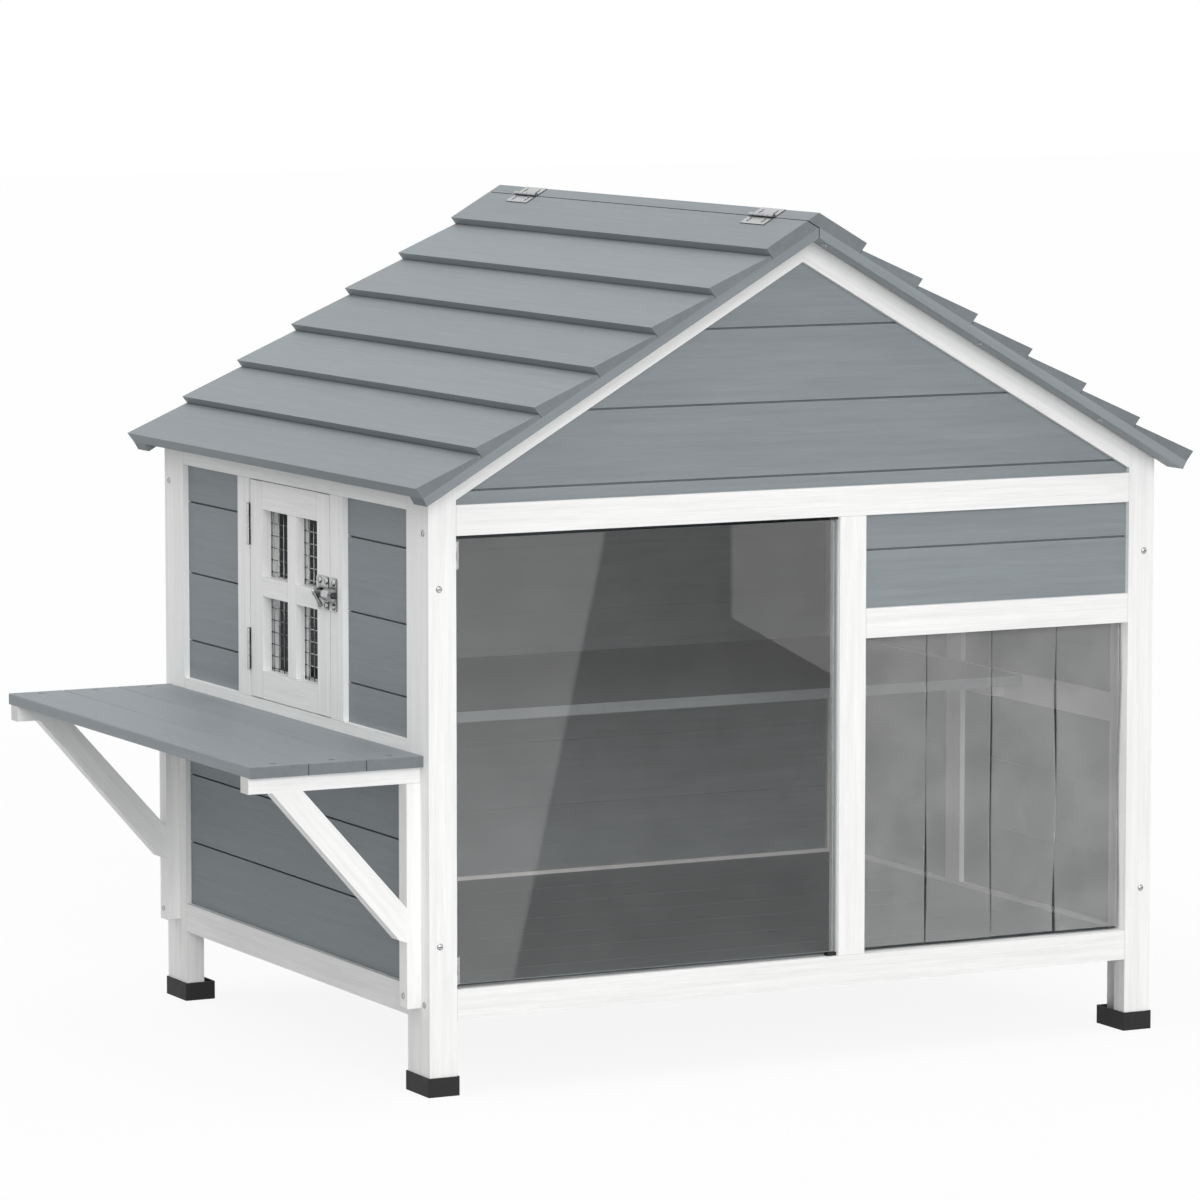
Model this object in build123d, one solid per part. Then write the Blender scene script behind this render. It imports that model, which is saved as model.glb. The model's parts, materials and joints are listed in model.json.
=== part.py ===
from build123d import *
from math import cos, radians, sin, tan
import os

# Timber frame. House coordinates: X from the front-left corner to the right,
# Y from the front face to the back, Z up from the ground.
BODY_WIDTH = 830.0
BODY_DEPTH = 655.0
TIMBER_WIDE = 30.0
TIMBER_THICK = 20.0
LEG_BOTTOM = 3.0
BOTTOM_RAIL_Z = 75.0
TOP_RAIL_Z = 553.0
SIDE_TOP_RAIL_Z = 576.0
MIDDLE_RAIL_Z = 318.5
MIDDLE_POST_X = 459.0
HEAD_RAIL_Z = 428.0
RIGHT_POST_Y = 357.0

# Roof. The board plane is the underside of the roof boards.
# Values for each slope are keyed by its side: -1 is left and 1 is right.
RIDGE_X = BODY_WIDTH / 2
SLOPE = radians(30)
BOARD_PLANE_Z = 846.0
FRAME_GAP = 1.0
ROOF_OVERHANG = 33.0
ROOF_ROWS = 7
ROW_PITCH = {-1: 73.95, 1: 74.45}
EAVE_REACH = {-1: 505.3, 1: 502.3}
ROOF_BOARD_THICK = 12.7
ROOF_BOARD_THIN = 4.0
EDGE_UNDERCUT = 1.7
ROW_GAP = 0.6
PANEL_GAP = 1.0
BATTEN_THICK = 9.0
BATTEN_WIDE = 30.0
RAFTER_CUT_Z = 834.0

# Wall boards lie in the middle of the frame's thickness.
WALL_BOARD_SETBACK = 6.0
WALL_BOARD_THICK = 8.0
SEAM_GAP = 2.0
TONGUE = 4.0
TONGUE_PLAY = 0.3
LOWER_SEAMS = [171.0, 244.0]
UPPER_SEAMS = [388.0, 460.0, 535.5]
REAR_SEAMS = [172.0, 244.0, 316.0, 388.0, 460.0, 535.0]
GABLE_SEAMS = [595.5, 669.7, 745.0]
ENTRANCE_SEAMS = [516.0]

# Floor and loft
FLOOR_TOP = 101.0
FLOOR_THICK = 10.0
FLOOR_BOARDS = 7
FLOOR_GAP = 1.0
JOIST_WIDE = 20.0
LOFT_TOP = 347.0
LOFT_THICK = 11.0
LOFT_FRONT_Y = 226.0
CLEAT = 15.0
CLEAT_SETBACK = 40.0

# Foot caps
CAP_WALL = 1.7
CAP_PLAY = 0.3
CAP_TALL = 19.0

# Hatch door in the left wall
HATCH_Y = (231.7, 428.5)
HATCH_Z = (349.5, 575.0)
HATCH_THICK = 19.6
HATCH_STILE = 30.0
HATCH_RAIL = 29.0
MUNTIN = 20.0
MUNTIN_Y = 315.0
MUNTIN_Z = 456.0
MUNTIN_THICK = 16.0
JAMB_FRONT_Y = 199.6
JAMB_REAR_Y = 431.5
MESH_PITCH = 12.5
MESH_WIRE = 1.0
MESH_X = (10.0, 12.0)
GROOVE_PLAY = 0.1
MESH_COUNT_Y = 12
MESH_COUNT_Z = 15
HATCH_HINGE_Z = (377.0, 507.0)
HATCH_HINGE_TALL = 43.0
HATCH_PIN = (-2.0, 430.0)
HATCH_KNUCKLE_RADIUS = 1.9
HATCH_PIN_RADIUS = 0.9
HATCH_LEAF_X = (0.2, 13.0)

# Barrel bolt on the hatch
BOLT_Z = 475.0
BOLT_AXIS_X = -4.9
BOLT_RADIUS = 3.2
BOLT_PLAY = 0.1
BOLT_Y = (232.6, 257.0)
HANDLE_Y = 241.0
HANDLE_BEND = (-14.0, 478.0)
HANDLE_END = (-5.8, 463.0)
HANDLE_RADIUS = 1.9
PLATE_TALL = 34.0
PLATE_THICK = 1.2
PLATE_CORNER = 3.0
DOOR_PLATE_Y = (232.5, 261.2)
DOOR_BARREL_Y = (247.2, 254.2)
DOOR_BARREL_WALL = 1.4
DOOR_PLATE_SCREWS = (236.8, 252.5)
KEEPER_Y = (212.8, 228.8)
KEEPER_WALL = 3.2
KEEPER_SCREWS = (219.0,)
PLATE_SCREW_Z = 12.3
PLATE_SCREW_HEAD = (3.5, 2.2)
PLATE_SCREW_SHANK = 1.3
PLATE_HOLE_RADIUS = 1.5

# Clear window door
PANE_X = (33.5, 455.5)
PANE_Y = (6.0, 9.0)
PANE_Z = (109.3, 549.0)
WINDOW_PIN = (31.8, 3.6)
WINDOW_HINGE_Z = (109.6, 520.0)
WINDOW_HINGE_TALL = 27.0
WINDOW_KNUCKLE_RADIUS = 1.5
WINDOW_PIN_RADIUS = 0.75
CLIP_WALL = 1.0
CLIP_GRIP = 1.6
BRACKET_DEEP_Y = 18.0
CATCH_LONG = 10.0
CATCH_Y = (5.0, 12.0)
CATCH_CLEAR = 0.8

# Strip curtain in the entrance
CURTAIN_Y = (12.5, 14.5)
CURTAIN_TOP = 446.0
STRIP_COUNT = 4
STRIP_GAP = 1.2
STRIP_SIDE_GAP = 2.0
STRIP_HINGE_Z = 426.7
STRIP_BOTTOM = 109.0

# Side table
TABLE_REACH = 184.0
TABLE_Y = (12.5, 646.5)
TABLE_Z = (326.0, 337.5)
TABLE_BOARDS = 3
TABLE_GAP = 1.0
TABLE_EDGE = 0.8
BRACKET_Y = (19.5, 622.0)
BRACKET_THICK = 18.0
BRACKET_ARM_Z = 310.0
BRACKET_POST_DEEP = 15.0
BRACKET_POST_Z = 86.0
BRACE_TOP_X = (-159.0, -126.0)
BRACE_FOOT_Z = (152.3, 186.5)
BRACE_HEEL = (-23.0, 155.0)

# Roof hinges
ROOF_HINGE_Y = (60.0, 595.0)
ROOF_HINGE_LONG = 50.0
ROOF_LEAF_WIDE = 14.6
LEAF_THICK = 1.0
ROOF_PIN_LIFT = 2.1
ROOF_PIN_RADIUS = 1.0
ROOF_LEAF_ROOT = 0.6
ROOF_WEB = 1.2
ROOF_KNUCKLES = 5
SLOT_SIZE = (7.0, 2.6)
SLOT_ALONG = 8.2
SLOT_FROM_MIDDLE = 15.0
SLOT_SCREW_RADIUS = 1.2
SLOT_SCREW_TALL = 1.4
KNUCKLE_PLAY = 0.3
PIN_PLAY = 0.05

# Screws
SCREW_HEAD_RADIUS = 3.4
SCREW_HEAD_TALL = 1.5
SCREW_SHANK_RADIUS = 1.6
SCREW_HOLE_PLAY = 0.1
FRAME_SCREW_LONG = 32.0
TABLE_SCREW_LONG = 24.0
TABLE_SCREW_SINK = 1.8
BATTEN_SCREW_LONG = 11.0
BATTEN_SCREW_ALONG = (22.0, 230.0, 395.0)
BRACKET_SCREW_Z = 98.0
FRONT_SCREW_X = 11.5
FRONT_SCREW_Z = (149.0, 501.5)
SIDE_SCREW_Y = 12.0
SIDE_SCREW_Z = (90.3, 556.0)
PIN_HEAD = 0.5

# The origin is on the ground under the middle of the whole outline.
EAVE_X = EAVE_REACH[1] * cos(SLOPE) + ROOF_BOARD_THICK * sin(SLOPE)
ORIGIN_X = (RIDGE_X + EAVE_X - TABLE_REACH) / 2
ORIGIN_Y = BODY_DEPTH / 2

FRONT_OPENING_X = (TIMBER_WIDE, BODY_WIDTH - TIMBER_WIDE)
SIDE_OPENING_Y = (TIMBER_THICK + TIMBER_WIDE, BODY_DEPTH - TIMBER_THICK - TIMBER_WIDE)
RAIL_TOP_Z = BOTTOM_RAIL_Z + TIMBER_WIDE


def block(x, y, z):
    """A box between low and high limits."""
    size = Box(x[1] - x[0], y[1] - y[0], z[1] - z[0])
    return Pos((x[0] + x[1]) / 2, (y[0] + y[1]) / 2, (z[0] + z[1]) / 2) * size


def prism_y(points, y):
    """An XZ outline carried along Y."""
    face = make_face(Polyline(*[(px, y[0], pz) for px, pz in points], close=True))
    return extrude(face, amount=y[1] - y[0], dir=(0, 1, 0))


def prism_x(points, x):
    """A YZ outline carried along X."""
    face = make_face(Polyline(*[(x[0], py, pz) for py, pz in points], close=True))
    return extrude(face, amount=x[1] - x[0], dir=(1, 0, 0))


def rod_z(centre, radius, z):
    """A round rod that stands upright."""
    return Pos(centre[0], centre[1], (z[0] + z[1]) / 2) * Cylinder(radius, z[1] - z[0])


def rod_y(centre, radius, y):
    """A round rod that lies along Y."""
    turned = Rot(90, 0, 0) * Cylinder(radius, y[1] - y[0])
    return Pos(centre[0], (y[0] + y[1]) / 2, centre[1]) * turned


def flip_x(shape):
    """The same piece on the other side of the house."""
    return mirror(shape, Plane.YZ.offset(RIDGE_X))


def flip_y(shape):
    """The same piece on the other end of the house."""
    return mirror(shape, Plane.XZ.offset(-BODY_DEPTH / 2))


def board_plane(x):
    """Height of the underside of the roof boards above the house's X."""
    return BOARD_PLANE_Z - tan(SLOPE) * abs(x - RIDGE_X)


def frame_top(x):
    """Height that the timber frame reaches under the roof boards."""
    return board_plane(x) - FRAME_GAP


def slope_point(side, along, above):
    """XZ of a place on a roof slope: side is -1 for left and 1 for right."""
    x = RIDGE_X + side * (along * cos(SLOPE) + above * sin(SLOPE))
    z = BOARD_PLANE_Z - along * sin(SLOPE) + above * cos(SLOPE)
    return (x, z)


# Frame timbers
def front_stile():
    """A full-height corner timber of the front frame, bevelled to the slope."""
    outline = [
        (0, LEG_BOTTOM),
        (TIMBER_WIDE, LEG_BOTTOM),
        (TIMBER_WIDE, frame_top(TIMBER_WIDE)),
        (0, frame_top(0)),
    ]
    return prism_y(outline, (0, TIMBER_THICK))


def side_stile():
    """The side frame's corner timber, which makes an L with the front stile."""
    outline = [
        (0, LEG_BOTTOM),
        (TIMBER_THICK, LEG_BOTTOM),
        (TIMBER_THICK, frame_top(TIMBER_THICK)),
        (0, frame_top(0)),
    ]
    return prism_y(outline, (TIMBER_THICK, TIMBER_THICK + TIMBER_WIDE))


def front_rail(z, x=FRONT_OPENING_X):
    """A rail of the front frame."""
    return block(x, (0, TIMBER_THICK), (z, z + TIMBER_WIDE))


def side_rail(z):
    """A rail of the left side frame."""
    return block((0, TIMBER_THICK), SIDE_OPENING_Y, (z, z + TIMBER_WIDE))


def side_top_rail():
    """The left side's top rail, bevelled to the slope."""
    outline = [
        (0, SIDE_TOP_RAIL_Z),
        (TIMBER_THICK, SIDE_TOP_RAIL_Z),
        (TIMBER_THICK, frame_top(TIMBER_THICK)),
        (0, frame_top(0)),
    ]
    return prism_y(outline, SIDE_OPENING_Y)


def rafter_low(x):
    """Height of the rafter's lower edge."""
    return frame_top(x) - TIMBER_WIDE / cos(SLOPE)


def left_rafter():
    """The gable's left rafter, mitred at the ridge and cut flat under it."""
    cut_x = RIDGE_X - (frame_top(RIDGE_X) - RAFTER_CUT_Z) / tan(SLOPE)
    outline = [
        (TIMBER_WIDE, rafter_low(TIMBER_WIDE)),
        (RIDGE_X, rafter_low(RIDGE_X)),
        (RIDGE_X, RAFTER_CUT_Z),
        (cut_x, RAFTER_CUT_Z),
        (TIMBER_WIDE, frame_top(TIMBER_WIDE)),
    ]
    return prism_y(outline, (0, TIMBER_THICK))


def head_rail():
    """The rail over the entrance, rebated behind for the curtain."""
    x = (MIDDLE_POST_X + TIMBER_WIDE, FRONT_OPENING_X[1])
    rail = front_rail(HEAD_RAIL_Z, x)
    return rail - block(x, (CURTAIN_Y[0], TIMBER_THICK), (HEAD_RAIL_Z, CURTAIN_TOP))


# Wall boards
def board_outline(front, low, high, first, last):
    """Section of a wall board: a tongue on top, a rebate and a shadow gap below."""
    middle = front + WALL_BOARD_THICK / 2
    back = front + WALL_BOARD_THICK
    foot = low if first else low + SEAM_GAP
    rebate = low if first else low + TONGUE + TONGUE_PLAY
    tongue = high if last else high + TONGUE
    return [
        (front, foot),
        (front, high),
        (middle, high),
        (middle, tongue),
        (back, tongue),
        (back, rebate),
        (middle, rebate),
        (middle, foot),
    ]


def clean(points):
    """The outline without points that repeat or lie in line."""
    kept = []
    for i, point in enumerate(points):
        before = points[i - 1]
        after = points[(i + 1) % len(points)]
        turn = (point[0] - before[0]) * (after[1] - point[1]) - (point[1] - before[1]) * (
            after[0] - point[0]
        )
        if abs(turn) > 1e-6:
            kept.append(point)
    return kept


def wall_boards(span, z, seams, front=WALL_BOARD_SETBACK, along_y=False):
    """A stack of boards that fills a frame opening."""
    edges = [z[0], *seams, z[1]]
    rows = []
    for i in range(len(edges) - 1):
        outline = board_outline(front, edges[i], edges[i + 1], i == 0, i == len(edges) - 2)
        if along_y:
            rows.append(prism_y(clean(outline), span))
        else:
            rows.append(prism_x(clean(outline), span))
    return rows


def gable_boards():
    """Boards that fill the triangle between the rafters and the top rail."""
    low = TOP_RAIL_Z + TIMBER_WIDE
    opening = prism_y(
        [
            (FRONT_OPENING_X[0], low),
            (FRONT_OPENING_X[1], low),
            (FRONT_OPENING_X[1], rafter_low(FRONT_OPENING_X[1])),
            (RIDGE_X, rafter_low(RIDGE_X)),
            (FRONT_OPENING_X[0], rafter_low(FRONT_OPENING_X[0])),
        ],
        (0, TIMBER_THICK),
    )
    rows = wall_boards(FRONT_OPENING_X, (low, rafter_low(RIDGE_X)), GABLE_SEAMS)
    return [row & opening for row in rows]


# Roof
def row_tip(side, row):
    """Distance down the slope from the ridge to a row's lower edge."""
    return EAVE_REACH[side] - ROW_PITCH[side] * (ROOF_ROWS - row)


def roof_boards(side):
    """The weatherboards of one slope, from the ridge down."""
    across = ROOF_BOARD_THICK * tan(SLOPE)
    boards = []
    for row in range(1, ROOF_ROWS + 1):
        tip = row_tip(side, row)
        if row > 1:
            upper = row_tip(side, row - 1) - EDGE_UNDERCUT + ROW_GAP
            lean = EDGE_UNDERCUT * ROOF_BOARD_THIN / ROOF_BOARD_THICK
            head = [(upper, 0), (upper + lean, ROOF_BOARD_THIN)]
        elif side > 0:
            head = [(-2 * across, 0), (-across, ROOF_BOARD_THICK)]
        else:
            shift = PANEL_GAP / cos(SLOPE)
            head = [(shift, 0), (across + shift, ROOF_BOARD_THICK)]
        outline = [*head, (tip, ROOF_BOARD_THICK), (tip - EDGE_UNDERCUT, 0)]
        points = [slope_point(side, along, above) for along, above in outline]
        boards.append(prism_y(points, (-ROOF_OVERHANG, BODY_DEPTH + ROOF_OVERHANG)))
    return boards


def roof_battens(side):
    """The battens that tie a slope's boards, outside the front and rear frames."""
    lean = BATTEN_THICK * tan(SLOPE)
    shift = PANEL_GAP / 2 / cos(SLOPE)
    outline = [
        (shift, 0),
        (shift + lean, -BATTEN_THICK),
        (EAVE_REACH[side] - EDGE_UNDERCUT, -BATTEN_THICK),
        (EAVE_REACH[side] - EDGE_UNDERCUT, 0),
    ]
    points = [slope_point(side, along, above) for along, above in outline]
    front = prism_y(points, (-ROOF_OVERHANG, -ROOF_OVERHANG + BATTEN_WIDE))
    return [front, flip_y(front)]


ROOF_PIN_ALONG = ROOF_BOARD_THICK * tan(SLOPE) + PANEL_GAP / cos(SLOPE) / 2
ROOF_PIN = slope_point(-1, ROOF_PIN_ALONG, ROOF_BOARD_THICK + ROOF_PIN_LIFT)


def slotted_leaf(direction):
    """A hinge leaf on the roof: a plate with two slotted holes and its knuckles."""
    radius = ROOF_PIN_LIFT - 0.1
    share = ROOF_HINGE_LONG / ROOF_KNUCKLES
    start_z = -ROOF_HINGE_LONG / 2
    low = -ROOF_PIN_LIFT
    plate_y = (low, low + LEAF_THICK)
    plate = block((ROOF_LEAF_ROOT, ROOF_LEAF_WIDE), plate_y, (start_z, -start_z))
    for end in (-1, 1):
        hole = extrude(Rot(90, 0, 0) * SlotOverall(*SLOT_SIZE), amount=LEAF_THICK, both=True)
        plate -= Pos(SLOT_ALONG, low + LEAF_THICK / 2, end * SLOT_FROM_MIDDLE) * hole
    own = [0, 2, 4] if direction < 0 else [1, 3]
    for turn in range(ROOF_KNUCKLES):
        start = start_z + turn * share
        if turn in own:
            web = block((0, ROOF_WEB), plate_y, (start, start + share))
            plate += web + Pos(0, 0, start + share / 2) * Cylinder(radius, share)
    for turn in range(ROOF_KNUCKLES):
        start = start_z + turn * share
        if turn not in own:
            room = (start - KNUCKLE_PLAY, start + share + KNUCKLE_PLAY)
            plate -= block((-radius, radius + 2 * KNUCKLE_PLAY), (-radius, radius), room)
            plate -= block((-radius, radius + 2 * KNUCKLE_PLAY), plate_y, room)
    plate -= Cylinder(ROOF_PIN_RADIUS + PIN_PLAY, ROOF_HINGE_LONG + 2)
    return plate if direction > 0 else mirror(plate, Plane.YZ)


def roof_hinge_places():
    """Where each roof hinge's local frame sits: X down the left slope, Y out of it."""
    down = (-cos(SLOPE), 0, -sin(SLOPE))
    return [
        Plane(origin=(ROOF_PIN[0], y, ROOF_PIN[1]), x_dir=down, z_dir=(0, 1, 0)).location
        for y in ROOF_HINGE_Y
    ]


def slot_screws(direction):
    """The screws in a leaf's slots."""
    height = -ROOF_PIN_LIFT + SLOT_SCREW_TALL / 2
    head = Rot(90, 0, 0) * Cylinder(SLOT_SCREW_RADIUS, SLOT_SCREW_TALL)
    return [
        Pos(direction * SLOT_ALONG, height, end * SLOT_FROM_MIDDLE) * head for end in (-1, 1)
    ]


# Hatch
def mesh_groove():
    """The room that the mesh takes inside the hatch's frame."""
    half_wide = (MESH_COUNT_Y * MESH_PITCH + MESH_WIRE) / 2 + GROOVE_PLAY
    half_tall = (MESH_COUNT_Z * MESH_PITCH + MESH_WIRE) / 2 + GROOVE_PLAY
    middle_y = (HATCH_Y[0] + HATCH_Y[1]) / 2
    middle_z = (HATCH_Z[0] + HATCH_Z[1]) / 2
    return block(
        (MESH_X[0] - GROOVE_PLAY, MESH_X[1] + GROOVE_PLAY),
        (middle_y - half_wide, middle_y + half_wide),
        (middle_z - half_tall, middle_z + half_tall),
    )


def hatch_stiles():
    """The two uprights of the hatch, grooved for the mesh."""
    x = (0, HATCH_THICK)
    front = block(x, (HATCH_Y[0], HATCH_Y[0] + HATCH_STILE), HATCH_Z)
    rear = block(x, (HATCH_Y[1] - HATCH_STILE, HATCH_Y[1]), HATCH_Z)
    return [front - mesh_groove(), rear - mesh_groove()]


def hatch_rails():
    """The top and bottom rails of the hatch, grooved for the mesh."""
    x = (0, HATCH_THICK)
    y = (HATCH_Y[0] + HATCH_STILE, HATCH_Y[1] - HATCH_STILE)
    bottom = block(x, y, (HATCH_Z[0], HATCH_Z[0] + HATCH_RAIL))
    top = block(x, y, (HATCH_Z[1] - HATCH_RAIL, HATCH_Z[1]))
    return [bottom - mesh_groove(), top - mesh_groove()]


def hatch_muntins():
    """The cross bars, one tall and two short, in front of the mesh and behind it."""
    y = (HATCH_Y[0] + HATCH_STILE, HATCH_Y[1] - HATCH_STILE)
    z = (HATCH_Z[0] + HATCH_RAIL, HATCH_Z[1] - HATCH_RAIL)
    level = (MUNTIN_Z, MUNTIN_Z + MUNTIN)
    bars = []
    for x in ((0, MESH_X[0] - GROOVE_PLAY), (MESH_X[1] + GROOVE_PLAY, MUNTIN_THICK)):
        bars.append(block(x, (MUNTIN_Y, MUNTIN_Y + MUNTIN), z))
        bars.append(block(x, (y[0], MUNTIN_Y), level))
        bars.append(block(x, (MUNTIN_Y + MUNTIN, y[1]), level))
    return bars


def hatch_mesh():
    """Welded wire mesh held between the cross bars, as one pierced sheet."""
    wide = MESH_COUNT_Y * MESH_PITCH + MESH_WIRE
    tall = MESH_COUNT_Z * MESH_PITCH + MESH_WIRE
    hole = MESH_PITCH - MESH_WIRE
    net = Rectangle(wide, tall)
    net -= GridLocations(MESH_PITCH, MESH_PITCH, MESH_COUNT_Y, MESH_COUNT_Z) * Rectangle(hole, hole)
    centre = (MESH_X[0], (HATCH_Y[0] + HATCH_Y[1]) / 2, (HATCH_Z[0] + HATCH_Z[1]) / 2)
    place = Plane(origin=centre, x_dir=(0, 1, 0), z_dir=(1, 0, 0))
    return extrude(place * net, amount=MESH_X[1] - MESH_X[0])


def upright_knuckles(pin, radius, z, turns):
    """The knuckles of an upright hinge at the given turns, counted from 0 at the foot."""
    share = (z[1] - z[0]) / 3
    tubes = []
    for turn in turns:
        low = z[0] + turn * share + (KNUCKLE_PLAY / 2 if turn > 0 else 0)
        high = z[0] + (turn + 1) * share - (KNUCKLE_PLAY / 2 if turn < 2 else 0)
        tubes.append((low, high, rod_z(pin, radius, (low, high))))
    return tubes


def hatch_leaf(low_z, on_door):
    """A hinge leaf in the gap between the hatch and its jamb."""
    z = (low_z, low_z + HATCH_HINGE_TALL)
    if on_door:
        y = (HATCH_Y[1], HATCH_Y[1] + LEAF_THICK)
    else:
        y = (JAMB_REAR_Y - LEAF_THICK, JAMB_REAR_Y)
    leaf = block(HATCH_LEAF_X, y, z)
    turns = [1] if on_door else [0, 2]
    for low, high, tube in upright_knuckles(HATCH_PIN, HATCH_KNUCKLE_RADIUS, z, turns):
        web = block((HATCH_PIN[0], HATCH_LEAF_X[0] + LEAF_THICK), y, (low, high))
        leaf += tube + web
    return leaf - rod_z(HATCH_PIN, HATCH_PIN_RADIUS + PIN_PLAY, (z[0] - 1, z[1] + 1))


def barrel(y, wall):
    """The half tube of a bolt plate, open towards the plate."""
    inner = BOLT_RADIUS + BOLT_PLAY
    outer = inner + wall
    axis = (BOLT_AXIS_X, BOLT_Z)
    run = (y[0] - 1, y[1] + 1)
    walls = block((BOLT_AXIS_X, -PLATE_THICK), y, (BOLT_Z - outer, BOLT_Z + outer))
    room = block((BOLT_AXIS_X, -PLATE_THICK), run, (BOLT_Z - inner, BOLT_Z + inner))
    behind = block((-PLATE_THICK, outer), run, (BOLT_Z - outer, BOLT_Z + outer))
    return rod_y(axis, outer, y) + walls - rod_y(axis, inner, run) - room - behind


def bolt_plate(y, barrel_y, wall, screw_ys):
    """A screwed plate with its barrel."""
    z = (BOLT_Z - PLATE_TALL / 2, BOLT_Z + PLATE_TALL / 2)
    plate = block((-PLATE_THICK, 0), y, z)
    plate = fillet(plate.edges().filter_by(Axis.X), PLATE_CORNER)
    plate += barrel(barrel_y, wall)
    for place in plate_screw_places(screw_ys):
        plate -= place * Cylinder(PLATE_HOLE_RADIUS, 4 * PLATE_THICK)
    return plate


def plate_screw_places(screw_ys):
    """Where a bolt plate's screws sit, pointing into the wood."""
    return [
        Pos(-PLATE_THICK, y, BOLT_Z + side * PLATE_SCREW_Z) * Rot(0, -90, 0)
        for y in screw_ys
        for side in (-1, 1)
    ]


def plate_screws(screw_ys):
    """Round-headed screws on a bolt plate."""
    screw = screw_shape(*PLATE_SCREW_HEAD, PLATE_SCREW_SHANK, PLATE_THICK)
    return [place * screw for place in plate_screw_places(screw_ys)]


def bar(start, end, radius):
    """A round bar between two points, with round ends."""
    line = Line(start, end)
    place = Plane(origin=start, z_dir=line % 0)
    shape = extrude(place * Circle(radius), amount=line.length)
    return shape + Pos(*start) * Sphere(radius) + Pos(*end) * Sphere(radius)


def bolt_rod():
    """The sliding bolt with its bent handle."""
    rod = rod_y((BOLT_AXIS_X, BOLT_Z), BOLT_RADIUS, BOLT_Y)
    rod = chamfer(rod.edges().filter_by(GeomType.CIRCLE), 0.8)
    root = (BOLT_AXIS_X, HANDLE_Y, BOLT_Z)
    bend = (HANDLE_BEND[0], HANDLE_Y, HANDLE_BEND[1])
    end = (HANDLE_END[0], HANDLE_Y, HANDLE_END[1])
    return rod + bar(root, bend, HANDLE_RADIUS) + bar(bend, end, HANDLE_RADIUS)


# Window
def window_clip(low_z):
    """The moving half of a window hinge: a channel that grips the pane."""
    z = (low_z, low_z + WINDOW_HINGE_TALL)
    x = (PANE_X[0] - CLIP_WALL, PANE_X[0] + CLIP_GRIP)
    clip = block(x, (PANE_Y[0] - CLIP_WALL, PANE_Y[1] + CLIP_WALL), z)
    clip -= block((PANE_X[0], x[1]), PANE_Y, (z[0] - 1, z[1] + 1))
    web_x = (WINDOW_PIN[0] - CLIP_WALL / 2, PANE_X[0])
    for low, high, tube in upright_knuckles(WINDOW_PIN, WINDOW_KNUCKLE_RADIUS, z, [1]):
        clip += tube + block(web_x, (WINDOW_PIN[1], PANE_Y[0]), (low, high))
    return clip - rod_z(WINDOW_PIN, WINDOW_PIN_RADIUS + PIN_PLAY, (z[0] - 1, z[1] + 1))


def window_bracket(low_z):
    """The fixed half of a window hinge, on the stile's inner face."""
    z = (low_z, low_z + WINDOW_HINGE_TALL)
    x = (TIMBER_WIDE, TIMBER_WIDE + LEAF_THICK)
    bracket = block(x, (PANE_Y[0], BRACKET_DEEP_Y), z)
    front = WINDOW_PIN[1] - WINDOW_KNUCKLE_RADIUS
    back = WINDOW_PIN[1] + WINDOW_KNUCKLE_RADIUS
    for low, high, tube in upright_knuckles(WINDOW_PIN, WINDOW_KNUCKLE_RADIUS, z, [0, 2]):
        bracket += block(x, (front, PANE_Y[0] + 1), (low, high))
        bracket += block((TIMBER_WIDE, WINDOW_PIN[0]), (front, back), (low, high))
        bracket += tube
    return bracket - rod_z(WINDOW_PIN, WINDOW_PIN_RADIUS + PIN_PLAY, (z[0] - 1, z[1] + 1))


def hinge_pin(centre, radius, low_z, tall):
    """An upright hinge pin with a small head."""
    foot = low_z - PIN_HEAD / 2
    neck = low_z + tall + PIN_HEAD / 4
    pin = rod_z(centre, radius, (foot, neck + PIN_HEAD / 4))
    return pin + rod_z(centre, radius + PIN_HEAD, (neck, neck + PIN_HEAD))


# Curtain
def strip_span(number):
    """X limits of a curtain strip, counted from 0 at the middle post."""
    low = MIDDLE_POST_X + TIMBER_WIDE + STRIP_SIDE_GAP
    high = FRONT_OPENING_X[1] - STRIP_SIDE_GAP
    pitch = (high - low + STRIP_GAP) / STRIP_COUNT
    return (low + number * pitch, low + (number + 1) * pitch - STRIP_GAP)


def curtain_strip(number):
    """One clear strip of the entrance curtain, with a round top edge to swing on."""
    x = strip_span(number)
    middle = (CURTAIN_Y[0] + CURTAIN_Y[1]) / 2
    radius = (CURTAIN_Y[1] - CURTAIN_Y[0]) / 2
    turned = Rot(0, 90, 0) * Cylinder(radius, x[1] - x[0])
    top = Pos((x[0] + x[1]) / 2, middle, STRIP_HINGE_Z) * turned
    return block(x, CURTAIN_Y, (STRIP_BOTTOM, STRIP_HINGE_Z)) + top


# Table
def table_boards():
    """The table's boards, side by side along the house."""
    pitch = (TABLE_REACH + TABLE_GAP) / TABLE_BOARDS
    boards = []
    for i in range(TABLE_BOARDS):
        x = (-TABLE_REACH + i * pitch, -TABLE_REACH + (i + 1) * pitch - TABLE_GAP)
        board = block(x, TABLE_Y, TABLE_Z)
        boards.append(chamfer(board.edges().group_by(Axis.Z)[-1], TABLE_EDGE))
    return boards


def table_bracket(low_y):
    """Arm, wall post and brace of one table bracket."""
    y = (low_y, low_y + BRACKET_THICK)
    arm = block((-TABLE_REACH, 0), y, (BRACKET_ARM_Z, TABLE_Z[0]))
    post = block((-BRACKET_POST_DEEP, 0), y, (BRACKET_POST_Z, BRACKET_ARM_Z))
    brace = prism_y(
        [
            (BRACE_TOP_X[0], BRACKET_ARM_Z),
            (BRACE_TOP_X[1], BRACKET_ARM_Z),
            (-BRACKET_POST_DEEP, BRACE_FOOT_Z[1]),
            (-BRACKET_POST_DEEP, BRACE_FOOT_Z[0]),
            BRACE_HEEL,
        ],
        y,
    )
    return [arm, post, brace]


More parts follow.
